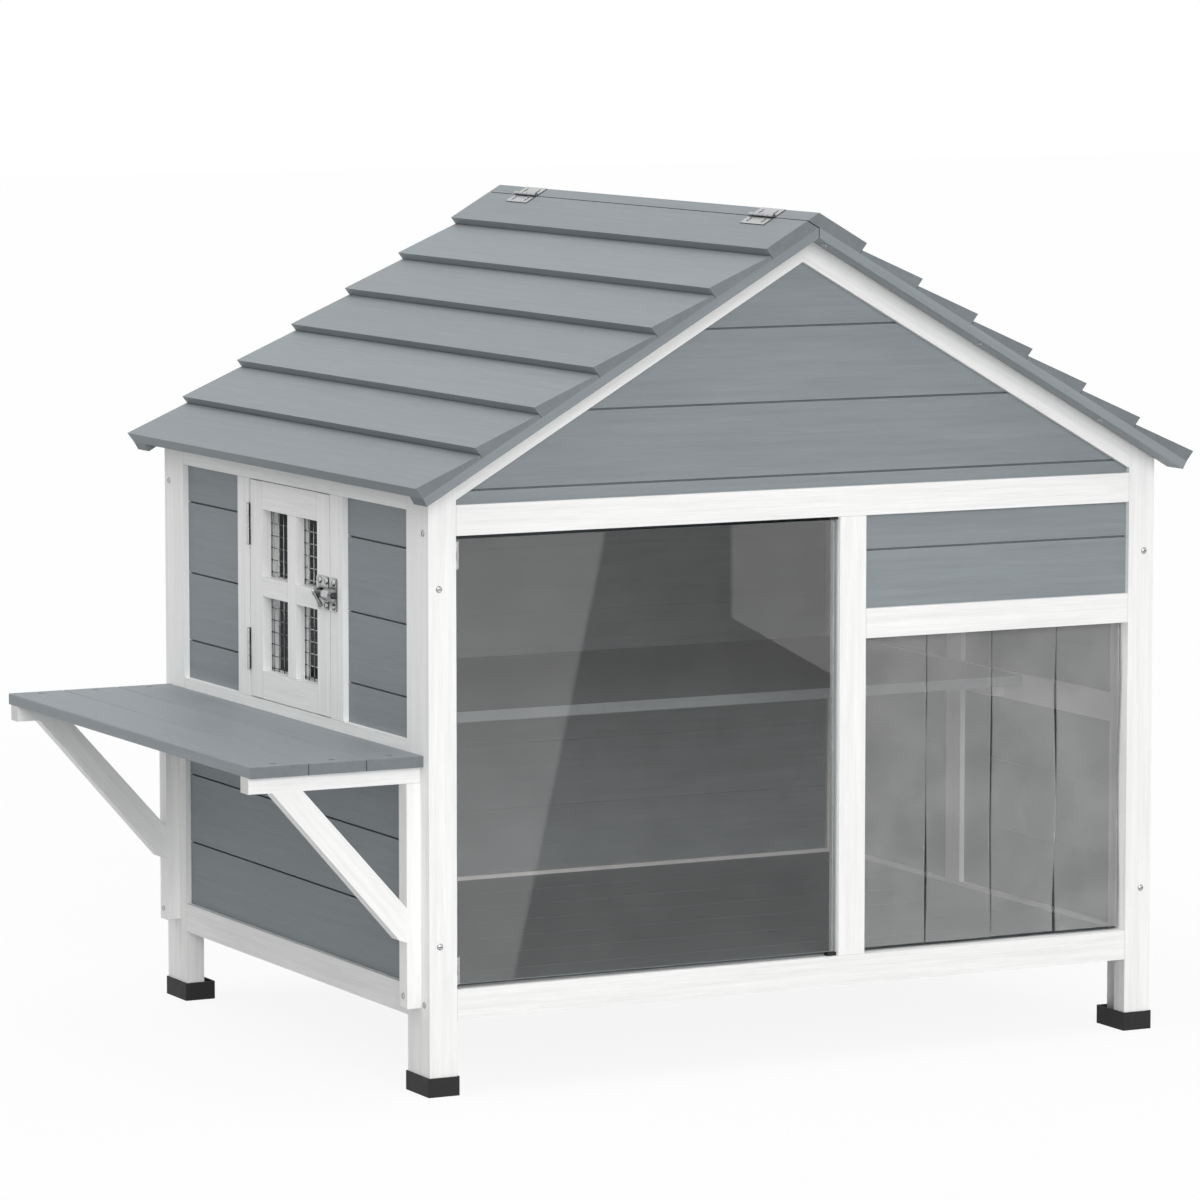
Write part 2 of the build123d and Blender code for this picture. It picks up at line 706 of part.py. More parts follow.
# Feet
def foot_cap():
    """A rubber cup under the front-left leg."""
    inner_x = (-CAP_PLAY, TIMBER_WIDE + CAP_PLAY)
    inner_y = (-CAP_PLAY, TIMBER_THICK + TIMBER_WIDE + CAP_PLAY)
    outer_x = (inner_x[0] - CAP_WALL, inner_x[1] + CAP_WALL)
    outer_y = (inner_y[0] - CAP_WALL, inner_y[1] + CAP_WALL)
    cup = block(outer_x, outer_y, (0, CAP_TALL))
    cup = fillet(cup.edges().filter_by(Axis.Z), 1.5)
    return cup - block(inner_x, inner_y, (LEG_BOTTOM, CAP_TALL + 1))


# Screws
def screw_shape(head_radius, head_tall, shank_radius, shank_long):
    """A round-headed screw that points down from its seat, with a slot in its head."""
    seat = Line((0, 0), (head_radius, 0))
    middle = (head_radius * 0.72, head_tall * 0.68)
    curve = ThreePointArc((head_radius, 0), middle, (0, head_tall))
    core = Line((0, head_tall), (0, 0))
    dome = revolve(Rot(90, 0, 0) * make_face([seat, curve, core]), axis=Axis.Z)
    dome -= Pos(0, 0, head_tall) * Box(head_radius * 1.3, head_radius * 0.3, head_tall)
    return dome + Pos(0, 0, -shank_long / 2) * Cylinder(shank_radius, shank_long)


# A screw is drawn pointing down; these turn it to be driven the named way.
POINTING = {
    "+Y": Rot(90, 0, 0),
    "-Y": Rot(-90, 0, 0),
    "+X": Rot(0, -90, 0),
    "-X": Rot(0, 90, 0),
    "-Z": Rot(0, 0, 0),
}


def frame_screw_seats():
    """Where the frame's screws sit."""
    seats = []
    for z in FRONT_SCREW_Z:
        for x in (FRONT_SCREW_X, BODY_WIDTH - FRONT_SCREW_X):
            seats.append(Pos(x, 0, z) * POINTING["+Y"])
            seats.append(Pos(x, BODY_DEPTH, z) * POINTING["-Y"])
    for z in SIDE_SCREW_Z:
        for y in (SIDE_SCREW_Y, BODY_DEPTH - SIDE_SCREW_Y):
            seats.append(Pos(0, y, z) * POINTING["+X"])
            seats.append(Pos(BODY_WIDTH, y, z) * POINTING["-X"])
    return seats


def table_screw_seats():
    """Sunk screws through the table's boards into the bracket arms."""
    pitch = (TABLE_REACH + TABLE_GAP) / TABLE_BOARDS
    z = TABLE_Z[1] - TABLE_SCREW_SINK
    return [
        Pos(-TABLE_REACH + (i + 0.5) * pitch, low_y + BRACKET_THICK / 2, z) * POINTING["-Z"]
        for low_y in BRACKET_Y
        for i in range(TABLE_BOARDS)
    ]


def bracket_screw_seats():
    """A screw through the foot of each bracket's wall post."""
    return [
        Pos(-BRACKET_POST_DEEP, low_y + BRACKET_THICK / 2, BRACKET_SCREW_Z) * POINTING["+X"]
        for low_y in BRACKET_Y
    ]


def batten_screw_seats(side):
    """Screws up through a slope's front and rear battens into its boards."""
    seats = []
    inward = (-side * sin(SLOPE), 0, -cos(SLOPE))
    for y in (-ROOF_OVERHANG + BATTEN_WIDE / 2, BODY_DEPTH + ROOF_OVERHANG - BATTEN_WIDE / 2):
        for along in BATTEN_SCREW_ALONG:
            x, z = slope_point(side, along, -BATTEN_THICK)
            seats.append(Plane(origin=(x, y, z), x_dir=(0, 1, 0), z_dir=inward).location)
    return seats


def screws(seats, shank_long):
    """Screws at their seats."""
    shape = screw_shape(SCREW_HEAD_RADIUS, SCREW_HEAD_TALL, SCREW_SHANK_RADIUS, shank_long)
    return [seat * shape for seat in seats]


def drill(nodes, seats, shank_long, sink=0):
    """Cuts each screw's hole, and its sunk head's, through the pieces that it passes."""
    long = shank_long + 0.5
    hole = Pos(0, 0, -long / 2) * Cylinder(SCREW_SHANK_RADIUS + SCREW_HOLE_PLAY, long)
    if sink:
        hole += Pos(0, 0, sink) * Cylinder(SCREW_HEAD_RADIUS + SCREW_HOLE_PLAY, 2 * sink)
    for seat in seats:
        cutter = seat * hole
        reach = cutter.bounding_box()
        for pieces in nodes.values():
            for i, piece in enumerate(pieces):
                if piece.bounding_box().overlaps(reach, tolerance=0.01):
                    pieces[i] = piece - cutter


def build_nodes():
    """Every named piece of the house, in house coordinates."""
    nodes = {}

    # Front frame
    left = front_stile()
    nodes["front_stiles"] = [left, flip_x(left)]
    post_z = (RAIL_TOP_Z, TOP_RAIL_Z)
    post_x = (MIDDLE_POST_X, MIDDLE_POST_X + TIMBER_WIDE)
    nodes["front_middle_post"] = [block(post_x, (0, TIMBER_THICK), post_z)]
    nodes["front_top_rail"] = [front_rail(TOP_RAIL_Z)]
    nodes["front_bottom_rail"] = [front_rail(BOTTOM_RAIL_Z)]
    nodes["entrance_head_rail"] = [head_rail()]
    nodes["front_rafters"] = [left_rafter(), flip_x(left_rafter())]
    nodes["front_gable_boards"] = gable_boards()
    entrance_x = (post_x[1], FRONT_OPENING_X[1])
    entrance_z = (HEAD_RAIL_Z + TIMBER_WIDE, TOP_RAIL_Z)
    nodes["entrance_panel_boards"] = wall_boards(entrance_x, entrance_z, ENTRANCE_SEAMS)

    # Rear frame
    nodes["rear_stiles"] = [flip_y(left), flip_y(flip_x(left))]
    nodes["rear_rails"] = [flip_y(front_rail(BOTTOM_RAIL_Z)), flip_y(front_rail(TOP_RAIL_Z))]
    nodes["rear_rafters"] = [flip_y(rafter) for rafter in nodes["front_rafters"]]
    nodes["rear_gable_boards"] = [flip_y(board) for board in gable_boards()]
    rear = wall_boards(FRONT_OPENING_X, post_z, REAR_SEAMS)
    nodes["rear_wall_boards"] = [flip_y(board) for board in rear]

    # Left side frame
    corner = side_stile()
    nodes["side_stiles"] = [corner, flip_y(corner), flip_x(corner), flip_x(flip_y(corner))]
    side_rails = [side_rail(BOTTOM_RAIL_Z), side_rail(MIDDLE_RAIL_Z), side_top_rail()]
    nodes["left_rails"] = side_rails
    upper_z = (MIDDLE_RAIL_Z + TIMBER_WIDE, SIDE_TOP_RAIL_Z)
    jamb_front = (JAMB_FRONT_Y, JAMB_FRONT_Y + TIMBER_WIDE)
    jamb_rear = (JAMB_REAR_Y, JAMB_REAR_Y + TIMBER_WIDE)
    nodes["hatch_jambs"] = [
        block((0, TIMBER_THICK), jamb, upper_z) for jamb in (jamb_front, jamb_rear)
    ]
    bays = [(SIDE_OPENING_Y[0], jamb_front[0]), (jamb_rear[1], SIDE_OPENING_Y[1])]
    nodes["left_upper_boards"] = [
        board for bay in bays for board in wall_boards(bay, upper_z, UPPER_SEAMS, along_y=True)
    ]
    lower_z = (RAIL_TOP_Z, MIDDLE_RAIL_Z)
    lower = wall_boards(SIDE_OPENING_Y, lower_z, LOWER_SEAMS, along_y=True)
    nodes["left_lower_boards"] = lower

    # Right side frame
    nodes["right_rails"] = [flip_x(rail) for rail in side_rails]
    right_post_y = (RIGHT_POST_Y, RIGHT_POST_Y + TIMBER_WIDE)
    right_x = (BODY_WIDTH - TIMBER_THICK, BODY_WIDTH)
    nodes["right_posts"] = [block(right_x, right_post_y, z) for z in (lower_z, upper_z)]
    bays = [(SIDE_OPENING_Y[0], right_post_y[0]), (right_post_y[1], SIDE_OPENING_Y[1])]
    nodes["right_wall_boards"] = [
        flip_x(board)
        for bay in bays
        for z, seams in ((lower_z, LOWER_SEAMS), (upper_z, UPPER_SEAMS))
        for board in wall_boards(bay, z, seams, along_y=True)
    ]

    # Floor and loft
    inside_x = (TIMBER_THICK + 1, BODY_WIDTH - TIMBER_THICK - 1)
    inside_y = (TIMBER_THICK + 1, BODY_DEPTH - TIMBER_THICK - 1)
    pitch = (inside_y[1] - inside_y[0] + FLOOR_GAP) / FLOOR_BOARDS
    floor_low = FLOOR_TOP - FLOOR_THICK
    nodes["floor_boards"] = [
        block(
            inside_x,
            (inside_y[0] + i * pitch, inside_y[0] + (i + 1) * pitch - FLOOR_GAP),
            (floor_low, FLOOR_TOP),
        )
        for i in range(FLOOR_BOARDS)
    ]
    joist_y = (TIMBER_THICK, BODY_DEPTH - TIMBER_THICK)
    joist_x = [inside_x[0], RIDGE_X - JOIST_WIDE / 2, inside_x[1] - JOIST_WIDE]
    nodes["floor_joists"] = [
        block((x, x + JOIST_WIDE), joist_y, (BOTTOM_RAIL_Z, floor_low)) for x in joist_x
    ]
    loft_low = LOFT_TOP - LOFT_THICK
    loft_z = (loft_low, LOFT_TOP)
    nodes["loft_platform"] = [block(inside_x, (LOFT_FRONT_Y, inside_y[1]), loft_z)]
    cleat_z = (loft_low - CLEAT, loft_low)
    cleat_y = (LOFT_FRONT_Y + CLEAT_SETBACK, SIDE_OPENING_Y[1])
    side_cleat = block((TIMBER_THICK, TIMBER_THICK + CLEAT), cleat_y, cleat_z)
    wall_y = BODY_DEPTH - WALL_BOARD_SETBACK - WALL_BOARD_THICK
    cleat_x = (FRONT_OPENING_X[0] + CLEAT, FRONT_OPENING_X[1] - CLEAT)
    rear_cleat = block(cleat_x, (wall_y - CLEAT, wall_y), cleat_z)
    nodes["loft_cleats"] = [side_cleat, flip_x(side_cleat), rear_cleat]

    # Feet
    cap = foot_cap()
    nodes["foot_caps"] = [cap, flip_x(cap), flip_y(cap), flip_x(flip_y(cap))]

    # Hatch
    nodes["hatch_stiles"] = hatch_stiles()
    nodes["hatch_rails"] = hatch_rails()
    nodes["hatch_muntins"] = hatch_muntins()
    nodes["hatch_mesh"] = [hatch_mesh()]
    nodes["hatch_door_leaves"] = [hatch_leaf(z, True) for z in HATCH_HINGE_Z]
    nodes["hatch_jamb_leaves"] = [hatch_leaf(z, False) for z in HATCH_HINGE_Z]
    nodes["bolt_plate"] = [
        bolt_plate(DOOR_PLATE_Y, DOOR_BARREL_Y, DOOR_BARREL_WALL, DOOR_PLATE_SCREWS)
    ]
    nodes["bolt_rod"] = [bolt_rod()]
    nodes["bolt_keeper"] = [bolt_plate(KEEPER_Y, KEEPER_Y, KEEPER_WALL, KEEPER_SCREWS)]
    nodes["bolt_plate_screws"] = plate_screws(DOOR_PLATE_SCREWS)

    # Window
    nodes["window_pane"] = [block(PANE_X, PANE_Y, PANE_Z)]
    nodes["window_hinge_clips"] = [window_clip(z) for z in WINDOW_HINGE_Z]
    nodes["window_hinge_brackets"] = [window_bracket(z) for z in WINDOW_HINGE_Z]
    catch_x = (MIDDLE_POST_X - CATCH_LONG, MIDDLE_POST_X)
    low_catch_z = (RAIL_TOP_Z, PANE_Z[0] - CATCH_CLEAR)
    high_catch_z = (PANE_Z[1] + CATCH_CLEAR, TOP_RAIL_Z)
    nodes["window_catches"] = [block(catch_x, CATCH_Y, z) for z in (low_catch_z, high_catch_z)]

    # Curtain
    header_x = (entrance_x[0] + 1, entrance_x[1] - 1)
    header_z = (HEAD_RAIL_Z, CURTAIN_TOP)
    nodes["curtain_header"] = [block(header_x, CURTAIN_Y, header_z)]
    nodes["curtain_clamp"] = [block(header_x, (CURTAIN_Y[1], TIMBER_THICK), header_z)]
    for i in range(STRIP_COUNT):
        nodes[f"curtain_strip_{i + 1}"] = [curtain_strip(i)]

    # Side table
    nodes["table_boards"] = table_boards()
    nodes["table_bracket_front"] = table_bracket(BRACKET_Y[0])
    nodes["table_bracket_rear"] = table_bracket(BRACKET_Y[1])

    # Roof
    nodes["roof_left_boards"] = roof_boards(-1)
    nodes["roof_left_battens"] = roof_battens(-1)
    nodes["roof_right_boards"] = roof_boards(1)
    nodes["roof_right_battens"] = roof_battens(1)
    places = roof_hinge_places()
    nodes["roof_hinge_lid_leaves"] = [place * slotted_leaf(1) for place in places]
    nodes["roof_hinge_ridge_leaves"] = [place * slotted_leaf(-1) for place in places]
    nodes["roof_lid_screws"] = [
        place * screw for place in places for screw in slot_screws(1)
    ]

    # Fixed small hardware
    hatch_pins = [
        hinge_pin(HATCH_PIN, HATCH_PIN_RADIUS, z, HATCH_HINGE_TALL) for z in HATCH_HINGE_Z
    ]
    window_pins = [
        hinge_pin(WINDOW_PIN, WINDOW_PIN_RADIUS, z, WINDOW_HINGE_TALL) for z in WINDOW_HINGE_Z
    ]
    roof_pins = [
        place * Cylinder(ROOF_PIN_RADIUS, ROOF_HINGE_LONG + PIN_HEAD) for place in places
    ]
    nodes["hinge_pins"] = hatch_pins + window_pins + roof_pins
    ridge_screws = [place * screw for place in places for screw in slot_screws(-1)]
    nodes["hardware_screws"] = plate_screws(KEEPER_SCREWS) + ridge_screws

    # Screws, each in its own drilled hole
    wall_seats = frame_screw_seats() + bracket_screw_seats()
    drill(nodes, wall_seats, FRAME_SCREW_LONG)
    drill(nodes, table_screw_seats(), TABLE_SCREW_LONG, TABLE_SCREW_SINK)
    for side in (-1, 1):
        drill(nodes, batten_screw_seats(side), BATTEN_SCREW_LONG)
    nodes["frame_screws"] = screws(wall_seats, FRAME_SCREW_LONG)
    nodes["table_screws"] = screws(table_screw_seats(), TABLE_SCREW_LONG)
    nodes["roof_lid_screws"] += screws(batten_screw_seats(-1), BATTEN_SCREW_LONG)
    nodes["hardware_screws"] += screws(batten_screw_seats(1), BATTEN_SCREW_LONG)
    return nodes


def main():
    """Writes one STEP file for each named piece."""
    os.makedirs("parts", exist_ok=True)
    shift = Location((-ORIGIN_X, -ORIGIN_Y, 0))
    for name, pieces in build_nodes().items():
        solids = [solid for piece in pieces for solid in piece.moved(shift).solids()]
        shape = solids[0] if len(solids) == 1 else Compound(solids)
        export_step(shape, f"parts/{name}.step")
        print(name, len(solids))


main()
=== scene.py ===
import bpy
import bmesh
import json
import math
import numpy as np
from mathutils import Euler, Matrix, Vector


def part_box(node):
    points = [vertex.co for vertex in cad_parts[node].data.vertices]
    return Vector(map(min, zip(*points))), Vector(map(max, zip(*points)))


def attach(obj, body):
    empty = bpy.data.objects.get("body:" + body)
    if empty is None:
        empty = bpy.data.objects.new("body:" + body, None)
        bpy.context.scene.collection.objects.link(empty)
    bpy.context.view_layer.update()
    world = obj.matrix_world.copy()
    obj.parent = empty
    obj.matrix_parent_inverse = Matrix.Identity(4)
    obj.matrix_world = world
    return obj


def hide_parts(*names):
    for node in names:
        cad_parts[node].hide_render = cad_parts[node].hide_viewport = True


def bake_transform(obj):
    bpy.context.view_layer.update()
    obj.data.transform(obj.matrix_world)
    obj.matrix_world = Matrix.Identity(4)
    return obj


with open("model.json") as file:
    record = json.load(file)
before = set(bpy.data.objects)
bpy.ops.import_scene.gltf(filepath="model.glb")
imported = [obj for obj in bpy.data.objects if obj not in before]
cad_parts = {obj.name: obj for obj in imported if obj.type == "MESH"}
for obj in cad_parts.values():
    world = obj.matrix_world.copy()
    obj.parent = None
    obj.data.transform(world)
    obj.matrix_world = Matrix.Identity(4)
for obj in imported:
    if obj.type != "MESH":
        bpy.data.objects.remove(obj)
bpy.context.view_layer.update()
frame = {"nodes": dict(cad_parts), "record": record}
nodes = frame["nodes"]

# Camera, at the photograph's place and angle
CAMERA_PLACE = (-2.84586, -5.61606, 1.14817)
CAMERA_PITCH = math.radians(6.3996)
CAMERA_YAW = math.radians(27.0213)
CAMERA_LENS = 181.585
CAMERA_REACH = 100.0
IMAGE_SIZE = 1200

# Light: two soft suns and the world, set by how bright the front, the left side and
# the roof are beside each other. A sun's vector points to it, and its length is the
# sun's strength.
FRONT_SUN = Vector((-0.1, -0.44, 0.14))
TOP_SUN = Vector((-0.12, 0, 0.42))
FRONT_SOFTNESS = math.radians(35)
TOP_SOFTNESS = math.radians(60)
WORLD_LEVEL = 0.48
BACKGROUND_LEVEL = 1.0

# Floor: how bright it is seen, and how much of that is its own shaded surface
FLOOR_SIZE = 40.0
FLOOR_WHITE = 1.07
FLOOR_OWN_SHARE = 0.16

# Colours, in linear light
WHITE = (1.0, 1.0, 1.0)
WHITE_PAINT = (0.90, 0.90, 0.892)
GREY_PAINT = (0.236, 0.264, 0.279)
STEEL = (0.5, 0.505, 0.51)
DARK_PLASTIC = (0.016, 0.016, 0.0155)
FLOOR = (0.55, 0.55, 0.55)
PANE_TINT = (0.93, 0.925, 0.92)
PANE_HAZE = (0.5, 0.5, 0.5)
# Painted light: the pane's cut edges get this pale colour in place of the light they gather
PANE_EDGE_GLOW = (0.55, 0.62, 0.65)
STRIP_TINT = (0.93, 0.93, 0.93)
STRIP_HAZE = (0.78, 0.78, 0.775)

# Noise: detail and roughness of each kind, and the range most of its values lie in
SMOOTH_NOISE = (2.0, 0.5)
EVEN_NOISE = (3.0, 0.5)
RING_NOISE = (3.0, 0.55)
CLOUDY_NOISE = (4.0, 0.6)
NOISE_RANGE = (0.3, 0.7)
WHOLE_RANGE = (0.0, 1.0)

# Painted wood. Scales are in noise cells per metre across the grain, and a stretch is
# the share of them along it.
FIBRE_SCALE = 900.0
RING_SCALE = 210.0
MOTTLE_SCALE = 55.0
GRAIN_STRETCH = 0.03
MOTTLE_STRETCH = 0.12
FIBRE_SHARE = 0.45
RING_SHARE = 0.55
GRAIN_RANGE = (0.36, 0.64)
GRAIN_DEPTH = 0.0006
# Painted shade: a darker line close to each timber's ends, where it meets the next one
JOINT_SHADE_EDGE = (0.0003, 0.0008)
JOINT_SHADE_TONES = (0.72, 1.0)
PAINT_ROUGH_STEPS = (-0.05, 0.07)
PAINT_IOR = 1.45

# Steel
STEEL_CLOUD_SCALE = 260.0
STEEL_TONES = (0.88, 1.06)
STEEL_ROUGHNESS = (0.22, 0.38)
SCRATCH_CELLS = (200.0, 200.0, 3000.0)
SCRATCH_STRENGTH = 0.08
SCRATCH_DEPTH = 0.0002
# Painted shade: the steel's colour is darkened where an occlusion node finds nooks
PAINTED_SHADE_REACH = 0.006
PAINTED_SHADE_SAMPLES = 8
PAINTED_SHADE_DARKNESS = 2.2

# Dark plastic
PEBBLE_SCALE = 1500.0
PEBBLE_STRENGTH = 0.25
PEBBLE_DEPTH = 0.0003
DUST_SCALE = 120.0
DUST_TONES = (0.85, 1.25)
PLASTIC_ROUGHNESS = (0.55, 0.7)
PLASTIC_SHINE = 0.3

# Clear sheets
EDGE_SCALE = 90.0
EDGE_TONES = (0.9, 1.1)
EDGE_ROUGHNESS = (0.1, 0.22)
SMEAR_SCALE = 18.0
SMEAR_TONES = (0.97, 1.02)
HAZE_LEVELS = (0.8, 1.2)
RIPPLE_DEPTH = 0.002


# Node trees
class Tree:
    """The node tree of a material or a world, with short calls to add and link nodes."""

    def __init__(self, owner, output_kind):
        owner.use_nodes = True
        self.owner = owner
        self.nodes = owner.node_tree.nodes
        self.nodes.clear()
        self.output = self.add(output_kind)

    def add(self, kind, inputs=None, **settings):
        """A new node, with its settings and its inputs' values or links."""
        node = self.nodes.new(kind)
        for name, value in settings.items():
            setattr(node, name, value)
        for name, value in (inputs or {}).items():
            self.feed(node.inputs[name], value)
        return node

    def feed(self, socket, value):
        """Gives a socket a value or a link."""
        if isinstance(value, bpy.types.NodeSocket):
            self.owner.node_tree.links.new(value, socket)
        elif socket.type == "RGBA":
            socket.default_value = (*value, 1)
        else:
            socket.default_value = value

    def math(self, operation, a, b):
        return self.add("ShaderNodeMath", {0: a, 1: b}, operation=operation).outputs[0]

    def vector(self, operation, a, b):
        return self.add("ShaderNodeVectorMath", {0: a, 1: b}, operation=operation).outputs[0]

    def dot(self, a, b):
        node = self.add("ShaderNodeVectorMath", {0: a, 1: b}, operation="DOT_PRODUCT")
        return node.outputs["Value"]

    def scaled(self, vector, factor):
        node = self.add("ShaderNodeVectorMath", {0: vector, "Scale": factor}, operation="SCALE")
        return node.outputs[0]

    def noise(self, vector, scale, kind):
        inputs = {"Vector": vector, "Scale": scale, "Detail": kind[0], "Roughness": kind[1]}
        return self.add("ShaderNodeTexNoise", inputs).outputs["Fac"]

    def spread(self, value, limits, results):
        """Turns a value between two limits into one between two results."""
        inputs = {0: value, 1: limits[0], 2: limits[1], 3: results[0], 4: results[1]}
        return self.add("ShaderNodeMapRange", inputs).outputs[0]

    def bump(self, height, strength, depth):
        inputs = {"Height": height, "Strength": strength, "Distance": depth}
        return self.add("ShaderNodeBump", inputs).outputs["Normal"]

    def mix(self, share, a, b):
        return self.add("ShaderNodeMixShader", {0: share, 1: a, 2: b}).outputs[0]

    def position(self):
        return self.add("ShaderNodeTexCoord").outputs["Object"]

    def face_vector(self, name):
        return self.add("ShaderNodeAttribute", attribute_name=name).outputs["Vector"]

    def seen_directly(self):
        """1 for rays from the camera, also by way of a mirror or glass, and otherwise 0."""
        path = self.add("ShaderNodeLightPath").outputs
        seen = self.math("MAXIMUM", path["Is Camera Ray"], path["Is Glossy Ray"])
        return self.math("MAXIMUM", seen, path["Is Transmission Ray"])

    def finish(self, shader):
        self.feed(self.output.inputs["Surface"], shader)
        return self.owner

    def finish_surface(self, inputs):
        return self.finish(self.add("ShaderNodeBsdfPrincipled", inputs).outputs[0])


def material_tree(name):
    return Tree(bpy.data.materials.new(name), "ShaderNodeOutputMaterial")


# Materials
def around_one(variation):
    return (1.0 - variation, 1.0 + variation)


def painted_wood(name, colour, grain, mottle, boards, rough, relief):
    """Paint on timber: the grain runs along each timber and shows as fine relief.

    The grain, the mottle and the boards each vary the colour by a share of it. A thin
    darker line at a timber's ends is painted shade where it meets the next one.
    """
    tree = material_tree(name)
    place = tree.position()
    along = tree.face_vector("grain")
    span = tree.face_vector("span")
    low_end, high_end, tone = tree.add("ShaderNodeSeparateXYZ", {0: span}).outputs
    length = tree.dot(place, along)
    run = tree.scaled(along, length)
    across = tree.vector("SUBTRACT", place, run)
    shifted = tree.vector("ADD", across, tree.scaled(along, tone))
    grain_place = tree.vector("ADD", shifted, tree.scaled(run, GRAIN_STRETCH))
    mottle_place = tree.vector("ADD", shifted, tree.scaled(run, MOTTLE_STRETCH))
    fibre = tree.noise(grain_place, FIBRE_SCALE, CLOUDY_NOISE)
    ring = tree.noise(grain_place, RING_SCALE, RING_NOISE)
    cloud = tree.noise(mottle_place, MOTTLE_SCALE, CLOUDY_NOISE)
    fibre_part = tree.math("MULTIPLY", fibre, FIBRE_SHARE)
    ring_part = tree.math("MULTIPLY", ring, RING_SHARE)
    height = tree.math("ADD", fibre_part, ring_part)
    grain_level = tree.spread(height, GRAIN_RANGE, around_one(grain))
    cloud_level = tree.spread(cloud, NOISE_RANGE, around_one(mottle))
    board_level = tree.spread(tone, WHOLE_RANGE, around_one(boards))
    # Painted shade at the joints: darker near either end of a timber
    to_low = tree.math("SUBTRACT", length, low_end)
    to_high = tree.math("SUBTRACT", high_end, length)
    to_end = tree.math("MINIMUM", to_low, to_high)
    joint_shade_level = tree.spread(to_end, JOINT_SHADE_EDGE, JOINT_SHADE_TONES)
    level = tree.math("MULTIPLY", grain_level, cloud_level)
    level = tree.math("MULTIPLY", level, board_level)
    level = tree.math("MULTIPLY", level, joint_shade_level)
    inputs = {
        "Base Color": tree.scaled(colour, level),
        "Roughness": tree.spread(cloud, NOISE_RANGE, [rough + step for step in PAINT_ROUGH_STEPS]),
        "Normal": tree.bump(height, relief, GRAIN_DEPTH),
        "IOR": PAINT_IOR,
    }
    return tree.finish_surface(inputs)


def zinc_steel():
    """Zinc-plated steel, with faint cloudy wear, and painted shade that darkens it in its nooks.
    """
    tree = material_tree("zinc_steel")
    place = tree.position()
    cloud = tree.noise(place, STEEL_CLOUD_SCALE, CLOUDY_NOISE)
    scratch = tree.noise(tree.vector("MULTIPLY", place, SCRATCH_CELLS), 1.0, EVEN_NOISE)
    reach = {"Distance": PAINTED_SHADE_REACH}
    painted_nook_shade = tree.add("ShaderNodeAmbientOcclusion", reach, samples=PAINTED_SHADE_SAMPLES).outputs["AO"]
    wear = tree.spread(cloud, NOISE_RANGE, STEEL_TONES)
    # Painted shade: the colour is darkened by the occlusion found in nooks and creases
    level = tree.math("MULTIPLY", wear, tree.math("POWER", painted_nook_shade, PAINTED_SHADE_DARKNESS))
    inputs = {
        "Base Color": tree.scaled(STEEL, level),
        "Metallic": 1.0,
        "Roughness": tree.spread(cloud, NOISE_RANGE, STEEL_ROUGHNESS),
        "Normal": tree.bump(scratch, SCRATCH_STRENGTH, SCRATCH_DEPTH),
    }
    return tree.finish_surface(inputs)


def moulded_plastic():
    """Dark moulded plastic with a fine pebbled skin."""
    tree = material_tree("dark_moulding")
    place = tree.position()
    pebble = tree.noise(place, PEBBLE_SCALE, SMOOTH_NOISE)
    dust = tree.noise(place, DUST_SCALE, CLOUDY_NOISE)
    inputs = {
        "Base Color": tree.scaled(DARK_PLASTIC, tree.spread(dust, NOISE_RANGE, DUST_TONES)),
        "Roughness": tree.spread(dust, NOISE_RANGE, PLASTIC_ROUGHNESS),
        "Normal": tree.bump(pebble, PEBBLE_STRENGTH, PEBBLE_DEPTH),
        "Specular IOR Level": PLASTIC_SHINE,
    }
    return tree.finish_surface(inputs)


def painted_edge_glow():
    """The cut edge of the pane, painted a pale blue-grey that stands in for the light it gathers.
    """
    tree = material_tree("pane_edge")
    cloud = tree.noise(tree.position(), EDGE_SCALE, EVEN_NOISE)
    inputs = {
        "Base Color": tree.scaled(PANE_EDGE_GLOW, tree.spread(cloud, NOISE_RANGE, EDGE_TONES)),
        "Roughness": tree.spread(cloud, NOISE_RANGE, EDGE_ROUGHNESS),
    }
    return tree.finish_surface(inputs)


def clear_sheet(name, tint, haze, haze_share, gloss, ior, ripple, ripple_scale):
    """A clear sheet: see-through where the eye looks in, a mirror at a low angle."""
    tree = material_tree(name)
    place = tree.position()
    ripples = tree.noise(place, ripple_scale, SMOOTH_NOISE)
    smear = tree.noise(place, SMEAR_SCALE, CLOUDY_NOISE)
    normal = tree.bump(ripples, ripple, RIPPLE_DEPTH)
    clear = {"Color": tree.scaled(tint, tree.spread(smear, NOISE_RANGE, SMEAR_TONES))}
    through = tree.add("ShaderNodeBsdfTransparent", clear).outputs[0]
    film = tree.add("ShaderNodeBsdfDiffuse", {"Color": haze}).outputs[0]
    share = tree.spread(smear, NOISE_RANGE, [haze_share * level for level in HAZE_LEVELS])
    polish = {"Color": WHITE, "Roughness": gloss, "Normal": normal}
    mirror = tree.add("ShaderNodeBsdfGlossy", polish).outputs[0]
    mirrored = tree.add("ShaderNodeFresnel", {"IOR": ior, "Normal": normal}).outputs[0]
    return tree.finish(tree.mix(mirrored, tree.mix(share, through, film), mirror))


def pale_floor():
    """A floor that is seen as white, with part of its own shading for the shadow."""
    tree = material_tree("pale_floor")
    share = tree.math("MULTIPLY", tree.seen_directly(), 1 - FLOOR_OWN_SHARE)
    white = tree.add("ShaderNodeEmission", {"Color": WHITE, "Strength": FLOOR_WHITE})
    own = tree.add("ShaderNodeBsdfDiffuse", {"Color": FLOOR})
    return tree.finish(tree.mix(share, own.outputs[0], white.outputs[0]))


def glow(name, level):
    """Plain white light."""
    tree = material_tree(name)
    light = tree.add("ShaderNodeEmission", {"Color": WHITE, "Strength": level})
    return tree.finish(light.outputs[0])


